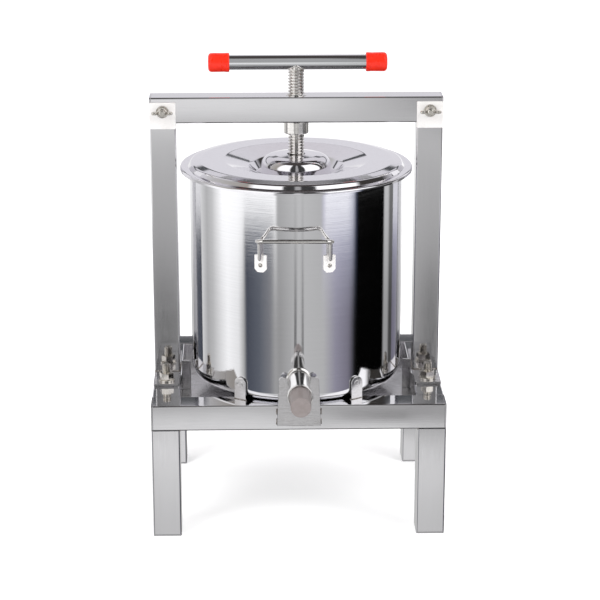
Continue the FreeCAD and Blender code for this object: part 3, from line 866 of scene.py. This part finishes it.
def make_spout():
    low, high = span("spout_pipe")
    pipe = bar(high.x - low.x, -high.y + 0.05, -low.y, 0.3, SPOUT_BORE, 96)
    drum_piece("spout_pipe_drawn", along_spout(pipe), spout_steel, "spout_pipe")
    seat, bore = -low.y, COLLAR_BORE_RADIUS
    low, high = span("spout_collar")
    r, front = (high.x - low.x) / 2, -low.y
    corners = [
        (bore, COLLAR_START, 0), (r - 0.4, COLLAR_START, 0), (r, front - 2.6, 0.5),
        (r - 1.2, front - 1.4, 0.4), (r - 0.4, front - 0.7, 0.4), (r - 1.3, front, 0.5), (bore, front, 0)]
    collar = lathe(outline(corners, 4), True, 96)
    drum_piece("spout_collar_rolled", along_spout(collar), spout_steel, "spout_collar")
    low, high = span("spout_bead")
    r, back, front = (high.x - low.x) / 2, -high.y, -low.y
    recess = front - BEAD_RECESS
    corners = [
        (bore, back, 0), (r, back, 2.0), (r, front, 1.0), (r - 1.1, front, 0.5), (r - 1.2, recess, 0.3),
        (bore, recess, 0)]
    bead = lathe(outline(corners, 6), True, 96)
    drum_piece("spout_bead_rolled", along_spout(bead), spout_steel, "spout_bead")
    low, high = span("stopper")
    r, back, front = (high.x - low.x) / 2, -high.y, -low.y
    corners = [
        (0, back, 0), (7.1, back, 0.8), (7.9, seat, 0), (r - 0.1, seat, 0.5), (r, seat + 2.0, 1.2),
        (r - 0.5, front, 0.9), (0, front + 0.15, 0)]
    plug = lathe(outline(corners, 6), False, 96)
    piece("stopper_moulded", along_spout(plug), grey_silicone, "spout_stopper", ["stopper"])


def make_grips():
    """Two bent wires on riveted ears, the rear one the front one turned half round."""
    ear_low, ear_high = span("grip_ears")
    top = span("front_grip")[1].z - GRIP_WIRE_RADIUS
    foot = EAR_OUTSIDE + GRIP_WIRE_RADIUS + 0.02
    spread = math.radians(GRIP_SPREAD)
    x, y, z = foot * math.sin(spread), -foot * math.cos(spread), ear_high.z - GRIP_OVERLAP
    reach = -DRUM_RADIUS - GRIP_REACH
    corners = [
        ((-x, y, z), 0), ((-x, y, GRIP_BEND_Z), 4.0), ((-GRIP_HALF, reach, top), 6.0),
        ((GRIP_HALF, reach, top), 6.0), ((x, y, GRIP_BEND_Z), 4.0), ((x, y, z), 0)]
    bent = turned(wire(rounded(corners, 8), GRIP_WIRE_RADIUS, 24), GRIP_AZIMUTH)
    for name, shape in (("front_grip", bent), ("rear_grip", turned(bent, 180))):
        drum_piece(name + "_wire", shape, grip_steel, name)
    profile = [(0, -0.5, 0), (2.0, -0.5, 0), (2.0, 0.25, 0.2), (1.3, 0.72, 0.5), (0, 0.8, 0)]
    place = at(0, -EAR_OUTSIDE, (ear_low.z + ear_high.z) / 2 - 1.5) @ Z_TO_FRONT
    rivet = moved(lathe(outline(profile, 4), False, 32), place)
    ear = make_ear(ear_low.z, ear_high.z)
    angles = [GRIP_AZIMUTH + a for a in (-GRIP_SPREAD, GRIP_SPREAD, 180 - GRIP_SPREAD, 180 + GRIP_SPREAD)]
    drum_piece("grip_ears_pressed", joined(*[turned(ear, a) for a in angles]), ear_steel, "grip_ears")
    fastener("grip_rivets_domed", joined(*[turned(rivet, a) for a in angles]), "grip_rivets")


def make_ear(low, high):
    """One tab, bent to the drum's wall, its lower corners cut off."""
    half, cut = EAR_HALF, EAR_CUT
    edge = flat_outline([
        (-half, high, 0.5), (half, high, 0.5), (half, low + cut, 0.6), (half - cut, low, 0.6),
        (-half + cut, low, 0.6), (-half, low + cut, 0.6)], 3)
    points, faces = plate([edge], EAR_SHEET, 0.3)
    bent = []
    for p in points:
        r = EAR_OUTSIDE - EAR_SHEET / 2 + p.z
        a = p.x / EAR_OUTSIDE
        bent.append(Vector((r * math.sin(a), -r * math.cos(a), p.y)))
    return bent, faces


# --- lugs, stops and yoke ---
def make_lugs():
    """Two lugs with a pressed ring, and their mirror images behind."""
    low, high = span("front_drum_lugs")
    half = LUG_HALF
    top = high.z - half
    edge = [(-half, low.z), (half, low.z)] + arc(0, top, half, 0, 180, 12)
    lug = moved(plate([edge], LUG_SHEET), at(0, -LUG_INSIDE - LUG_SHEET / 2, 0) @ Z_TO_FRONT)
    angles = [math.radians(36 * k) for k in range(10)]
    ring = lathe([(2.6 + 0.55 * math.cos(a), 0.45 * math.sin(a)) for a in angles], True, 40)
    ring = moved(ring, at(0, -LUG_INSIDE - LUG_SHEET, top) @ Z_TO_FRONT)
    lugs = [turned(joined(lug, ring), angle) for angle in (LUG_ANGLE, -LUG_ANGLE)]
    frame_piece("front_drum_lugs_pressed", joined(*lugs), plate_steel, "front_drum_lugs")
    lugs = [flipped(one, 1) for one in lugs]
    frame_piece("rear_drum_lugs_pressed", joined(*lugs), plate_steel, "rear_drum_lugs")


def make_stops():
    low, high = span("side_drum_stops")
    stop = plate([rectangle(STOP_INSIDE, high.x, low.z, high.z, 1.2)], high.y - low.y)
    stop = moved(stop, at(0, (low.y + high.y) / 2, 0) @ Z_TO_FRONT)
    frame_piece("side_drum_stops_cut", joined(stop, flipped(stop, 0)), plate_steel, "side_drum_stops")


def make_yoke():
    """A plate with two round-topped prongs and a round notch between them for the spout."""
    low, high = span("spout_yoke")
    foot = (high.x - low.x) / 2
    prong = (YOKE_HALF - YOKE_NOTCH) / 2
    prong_x, prong_z = YOKE_HALF - prong, high.z - prong
    edge = [(foot, low.z), (YOKE_HALF, prong_z)]
    edge += arc(prong_x, prong_z, prong, 15, 180, 15)
    edge += arc(0, middle("spout_pipe").z, YOKE_NOTCH, 0, -180, -10)
    edge += arc(-prong_x, prong_z, prong, 0, 180, 15)
    edge.append((-foot, low.z))
    shape = plate([edge], high.y - low.y)
    shape = moved(shape, at(0, (low.y + high.y) / 2, 0) @ Z_TO_FRONT)
    frame_piece("spout_yoke_cut", shape, plate_steel, "spout_yoke")


# --- lid ---
def make_lid():
    """Pressed sheet: turned-down rim, plateau, shallow dish, round well and the dome in it.

    The corners run inwards along the sheet's lower side.
    """
    side = span("lid")[1].x - LID_SHEET
    ledge = LID_FLANGE_Z - LID_SHEET
    plateau = LID_PLATEAU_Z - LID_SHEET
    corners = [
        (side, ledge - LID_SKIRT, 0), (side, ledge, 1.0),
        (LID_STEP_RADIUS, ledge, 1.2), (LID_STEP_RADIUS - 3.0, plateau - 1.4, 3.0),
        (LID_PLATEAU_RADIUS, plateau, 20.0), (LID_DISH_RADIUS, plateau, 6.0),
        (LID_WELL_EDGE_RADIUS, LID_WELL_EDGE_Z, 3.0), (LID_WELL_RADIUS, LID_WELL_Z, 2.5),
        (LID_DOME_RADIUS, LID_WELL_Z, 2.0), (LID_DOME_RADIUS, LID_DOME_Z - 2.2, 9.0),
        (20.0, LID_DOME_Z - 0.6, 15.0), (LID_HOLE_RADIUS, LID_DOME_Z, 0),
    ]
    shape = lathe(thickened(outline(corners, 10)[::-1], LID_SHEET), True, 256)
    piece("lid_shell", shape, lid_steel, "lid", ["lid"])


# --- screw and handle ---
def saddle_bead(axis_z):
    """The weld between the screw's end and the round underside of the handle."""
    line = []
    for k in range(49):
        a = 2 * math.pi * k / 48
        x, y = 6.9 * math.cos(a), 6.9 * math.sin(a)
        drop = math.sqrt(7.3 ** 2 - y ** 2)
        line.append(Vector((x, y * 0.93, axis_z - drop - 0.1)))
    return wire(line, 0.75, 10, lambda i: 1.0 + 0.15 * math.sin(i * 2.1))


def make_screw():
    bottom = span("press_screw")[0].z
    foot_top = bottom + SCREW_FOOT_HEIGHT
    axis_z = middle("handle_tube").z
    top = axis_z - SCREW_BELOW_HANDLE
    r = SCREW_STUB_RADIUS
    shape = joined(
        bar(SCREW_FOOT, bottom, foot_top, 0.4),
        bar(SCREW_DIAMETER - 2 * SCREW_DEPTH, foot_top - 0.2, foot_top + 9.0, 0.2),
        thread(SCREW_DIAMETER, SCREW_DEPTH, SCREW_PITCH, foot_top + 8.0, top, 48),
        lathe([(0, top - 1.0), (r, top - 1.0), (r, axis_z - 2.0), (0, axis_z - 2.0)], False, 64),
        saddle_bead(axis_z),
    )
    piece("press_screw_threaded", shape, screw_steel, "screw", ["press_screw"])


def make_handle():
    low, high = span("handle_tube")
    axis_z = middle("handle_tube").z
    outside = high.z - low.z
    tube = bar(outside, low.x, high.x, 0.3, outside - 2 * TUBE_WALL, 96)
    tube = moved(tube, at(0, 0, axis_z) @ Z_TO_X)
    piece("handle_tube_polished", tube, chrome, "screw", ["handle_tube"])
    for side in ("left", "right"):
        node = side + "_handle_cap"
        low, high = span(node)
        r, bore, length = (high.z - low.z) / 2, CAP_BORE_RADIUS, high.x - low.x
        corners = [
            (bore, 0, 0), (r - 0.35, 0, 0.5), (r, 1.4, 0.8), (r - 0.25, 5.0, 6.0),
            (r - 0.1, length - 4.0, 10.0), (r - 0.5, length - 0.6, 3.0), (5.0, length, 6.0), (0, length, 0)]
        bottom = length - 1.8
        cap = lathe(outline(corners) + [(0, bottom), (bore, bottom)], True, 96)
        if side == "right":
            place = at(low.x, 0, axis_z) @ Z_TO_X
        else:
            place = at(high.x, 0, axis_z) @ Z_TO_X @ Matrix.Rotation(math.radians(180), 4, "Y")
        piece(node + "_dipped", moved(cap, place), red_vinyl, "screw", [node])


# --- welds ---
def weld_piece(name, beads):
    piece(name, joined(*beads), weld_steel, "stand")


def make_welds():
    """Beads where plates and tubes meet. Each is drawn at random, so their order matters."""
    random.seed(7)
    beads = []
    low, high = span("spout_yoke")
    y = span("front_rail")[0].y - 0.2
    for x in (low.x, high.x):
        for z in (low.z + 1.0, low.z + 11.0):
            beads.append(weld((x, y, z), (x, y, z + 6.0)))
    beads.append(weld((-12, y, low.z), (14, y, low.z), 1.3))
    weld_piece("yoke_welds", beads)
    beads = []
    z = span("front_rail")[1].z + 0.1
    for angle in (LUG_ANGLE, -LUG_ANGLE, 180 - LUG_ANGLE, LUG_ANGLE - 180):
        for x in (-LUG_HALF, LUG_HALF):
            beads.append(turned(weld((x, -104.0, z), (x, -105.0, z), 1.4), angle))
        beads.append(turned(weld((-6.0, -105.4, z), (6.0, -105.4, z), 1.1), angle))
    weld_piece("lug_welds", beads)
    beads = []
    low, high = span("right_post")
    z = low.z + 0.2
    for side in (-1, 1):
        x0, x1 = side * low.x, side * high.x
        for y in (low.y, high.y):
            beads.append(weld((x0, y, z), (x1, y, z), 1.5))
        beads.append(weld((x0, low.y, z), (x0, high.y, z), 1.5))
    weld_piece("post_welds", beads)
    beads = []
    low, high = span("front_right_leg")
    z = high.z
    for sx in (-1, 1):
        for sy in (-1, 1):
            x0, x1 = sx * low.x, sx * high.x
            y0, y1 = sy * high.y, sy * low.y
            beads.append(weld((x0, y0, z), (x0, y1, z), 1.1))
            beads.append(weld((x0, y0, z), (x1, y0, z), 1.1))
    weld_piece("leg_welds", beads)


def finish_inner_nodes():
    """CAD nodes whose shape is right keep it and get their material."""
    for node in ("strainer_basket", "basket_feet", "press_plate", "swivel_hub", "swivel_cap"):
        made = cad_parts[node]
        made.data.materials.clear()
        made.data.materials.append(inner_steel)


make_stand()
make_posts()
make_crossbar()
make_foot_bolts()
make_clamp_bolts()
make_drum()
make_spout()
make_grips()
make_lugs()
make_stops()
make_yoke()
make_lid()
make_screw()
make_handle()
make_welds()
finish_inner_nodes()


# --- studio ---
def make_floor():
    corners = [Vector((x, y, 0)) * FLOOR_HALF for x, y in ((-1, -1), (1, -1), (1, 1), (-1, 1))]
    floor = mesh_object("floor", (corners, [(0, 1, 2, 3)]))
    n = Nodes("floor_white")
    tone = n.blend(n.noise(3.0), (0.90, 0.90, 0.905, 1), (0.93, 0.93, 0.93, 1))
    white = n.finish(Base_Color=tone, Roughness=0.9, Emission_Color=(1, 1, 1, 1), Emission_Strength=0.50)
    floor.data.materials.append(white)
    floor.visible_glossy = False


class Studio(Tree):
    """The world's node tree: what the steel reflects, as bands of direction in degrees."""

    def __init__(self):
        world = bpy.data.worlds.new("studio")
        scene.world = world
        world.use_nodes = True
        super().__init__(world.node_tree)
        direction = self.add("ShaderNodeTexCoord").outputs["Generated"]
        x, self.y, self.z = self.add("ShaderNodeSeparateXYZ", {0: direction}).outputs
        azimuth = self.calc("ARCTAN2", x, self.calc("MULTIPLY", self.y, -1.0))
        self.azimuth = self.calc("MULTIPLY_ADD", azimuth, 1 / (2 * math.pi), 0.5)
        self.elevation = self.calc("MULTIPLY_ADD", self.calc("ARCSINE", self.z), 1 / math.pi, 0.5)

    def around(self, *stops):
        """Tones by azimuth: 0 is straight ahead of the spout, 90 is the press's right side."""
        return self.ramp(self.azimuth, [(degrees / 360 + 0.5, tone) for degrees, tone in stops])

    def up(self, *stops):
        """Tones by elevation above the horizon."""
        return self.ramp(self.elevation, [(degrees / 180 + 0.5, tone) for degrees, tone in stops])

    def both(self, a, b):
        return self.calc("MULTIPLY", a, b)


def side_walls(s):
    """Walls, windows and flags round the press, below the horizon."""
    # High and low are what the drum's upper and lower part reflect. They change sharply on the left.
    high = s.around(
        (-158, 0.96), (-138, 0.97), (-114, 0.52), (-104, 0.65), (-88, 1.25), (-61, 1.20), (-24, 1.20),
        (-21, 0.48), (2, 0.60), (25, 0.52), (28, (0.62, 0.61, 0.73)), (40, (0.64, 0.64, 0.78)),
        (61, (0.50, 0.52, 0.65)), (66, (0.05, 0.06, 0.10)), (68.5, 0.001), (107, 0.001), (109, 0.60),
        (116, 0.60), (120, 0.18), (144, 0.24), (150, 1.15), (175, 1.10))
    low = s.around(
        (-158, 0.55), (-138, 1.00), (-114, 0.45), (-104, 0.55), (-81, 1.05), (-67, 0.90), (-60, 0.42),
        (-57, (0.070, 0.078, 0.102)), (-42, (0.12, 0.132, 0.16)), (-30, (0.22, 0.225, 0.245)), (-24, 0.38),
        (-19, 0.34), (2, 0.54), (28, 0.50), (42, (0.30, 0.29, 0.36)), (57, (0.20, 0.19, 0.24)), (65, 0.01),
        (68.5, 0.001), (107, 0.001), (110, 0.36), (117, 0.34), (121, 0.06), (144, 0.10), (158, 0.55))
    sink = s.up((-17.4, 1.0), (-16.4, 0.70), (-15.2, 0.30), (-14.2, 0.0))
    left_sink = s.up((-15.2, 1.0), (-14.7, 0.0))
    is_left = s.around((-62, 0.0), (-58, 1.0), (-27, 1.0), (-22, 0.0))
    walls = s.blend(s.blend(is_left, sink, left_sink), high, low)
    # A bright window low on the right, which the top of the drum's wall reflects
    glow = s.up((-15.2, 0.0), (-14.7, 1.0))
    is_right = s.around((27, 0.0), (31, 1.0), (55, 1.0), (66, 0.0))
    walls = s.blend(s.both(glow, is_right), walls, (1.1, 1.1, 1.15, 1))
    # The table's reflection in what faces down
    table = s.up((-70, 0.05), (-50, 0.30), (-38, 0.70), (-30, 0.62))
    under = s.up((-34, 1.0), (-26, 0.0))
    # A plain wall beside the press, for the frame's side faces
    beside = s.around((26, 0.0), (30, 1.0), (104, 1.0), (108, 0.0))
    level = s.up((-13.6, 0.0), (-12.6, 1.0))
    side_wall = s.up((-13, 0.22), (-6, 0.40), (6, 0.62))
    walls = s.blend(s.both(beside, level), walls, side_wall)
    return s.blend(under, walls, table)


def front_wall(s):
    """The wall in front, which the flat front faces reflect, and where it is seen."""
    wall = s.up(
        (-60, 0.05), (-36, 0.45), (-26, 0.66), (-23.3, 0.70), (-21.1, 0.98), (-20.8, 0.82), (-19.9, 0.80),
        (-19.3, 0.08), (-17.8, 0.12), (-15.4, 0.46), (-12.7, 0.62), (-12.4, 0.96), (0, 1.00))
    # Crossbar and front rail grow darker to the right.
    at_crossbar = s.up((-12.6, 0.0), (-12.3, 1.0))
    at_rail = s.up((-21.1, 0.0), (-20.9, 1.0), (-20.1, 1.0), (-19.8, 0.0))
    crossbar_fall = s.around((1.4, 0.0), (5.5, 0.60))
    rail_fall = s.around((0.2, 0.0), (3.3, 0.80))
    for where, fall in ((at_crossbar, crossbar_fall), (at_rail, rail_fall)):
        wall = s.blend(s.both(where, fall), wall, (0.02, 0.02, 0.02, 1))
    # At the height of the drum the wall shows only in the directions that the two posts reflect.
    is_front = s.around((-5.5, 0.0), (-4, 1.0), (6.5, 1.0), (8, 0.0))
    is_post = s.around(
        (-3.7, 0.0), (-3.2, 1.0), (-1.6, 1.0), (-1.1, 0.0), (4.1, 0.0), (4.6, 1.0), (5.9, 1.0), (6.4, 0.0))
    at_drum = s.up((-19.6, 0.0), (-19.2, 1.0), (-13.6, 1.0), (-13.2, 0.0))
    return wall, s.blend(at_drum, is_front, is_post)


def overhead(s):
    """Ceiling windows and flags above the horizon, a shelf of them at the back, the black flag over all."""
    sky = s.around(
        (-150, (0.80, 0.79, 0.83)), (-120, 0.62), (-70, (0.40, 0.37, 0.33)), (-62, 1.30), (-24, 1.30),
        (-20, 0.05), (-4, 0.05), (-2.5, 0.42), (5, 0.42), (7, 0.05), (27, 0.05), (31, 1.45), (80, 1.45),
        (86, (0.05, 0.045, 0.04)), (128, 0.05), (134, 0.50), (150, (0.80, 0.79, 0.83)))
    shelf = s.up(
        (17.3, (0.80, 0.79, 0.83)), (17.7, (0.08, 0.085, 0.09)), (20.5, (0.08, 0.085, 0.09)),
        (21.0, (0.76, 0.75, 0.79)), (52, (0.74, 0.71, 0.74)))
    is_back = s.ramp(s.y, [(0.35, 0.0), (0.60, 1.0)])
    sky = s.blend(is_back, sky, shelf)
    tilt = math.radians(FLAG_HEIGHT)
    toward_flag = s.calc("ADD", s.both(s.y, math.cos(tilt)), s.both(s.z, math.sin(tilt)))
    edge, solid = math.cos(math.radians(FLAG_EDGE)), math.cos(math.radians(FLAG_SOLID))
    flag = s.ramp(toward_flag, [(edge, 0.0), (solid, 1.0)])
    return s.blend(flag, sky, (0.07, 0.062, 0.06, 1))


def make_world():
    """The studio lights the press and shows in its steel. The camera itself sees plain white."""
    s = Studio()
    wall, is_front = front_wall(s)
    lower = s.blend(is_front, side_walls(s), wall)
    over = s.up((0, 0.0), (6, 1.0))
    light = s.blend(over, lower, overhead(s))
    camera_ray = s.add("ShaderNodeLightPath").outputs["Is Camera Ray"]
    light = s.blend(camera_ray, light, (0.93, 0.93, 0.93, 1))
    background = s.tree.nodes["Background"]
    s.put(background.inputs["Color"], light)
    s.put(background.inputs["Strength"], 1.0)


def make_light(name, place, size, power):
    lamp = bpy.data.lights.new(name, "AREA")
    lamp.shape = "RECTANGLE"
    lamp.size, lamp.size_y = size
    lamp.energy = power
    made = bpy.data.objects.new(name, lamp)
    made.location = place
    made.rotation_euler = (Vector(place) - LIGHT_AIM).to_track_quat("Z", "Y").to_euler()
    made.visible_camera = False
    made.visible_glossy = False
    scene.collection.objects.link(made)


def make_lights():
    make_light("key_left", (-1.7, -1.6, 1.9), (1.2, 1.6), 34)
    make_light("key_right", (1.9, -1.3, 1.7), (0.9, 1.5), 22)
    make_light("top", (0.0, 0.3, 2.6), (2.0, 2.0), 22)


def make_camera():
    camera = bpy.data.cameras.new("camera")
    camera.sensor_width = 36.0
    camera.lens = CAMERA_LENS
    camera.clip_start = 0.01
    made = bpy.data.objects.new("camera", camera)
    made.location = CAMERA_PLACE
    made.rotation_euler = (math.radians(90 - CAMERA_DOWN), 0, math.radians(CAMERA_YAW))
    scene.collection.objects.link(made)
    scene.camera = made


make_floor()
make_world()
make_lights()
make_camera()
scene.view_settings.view_transform = "Standard"
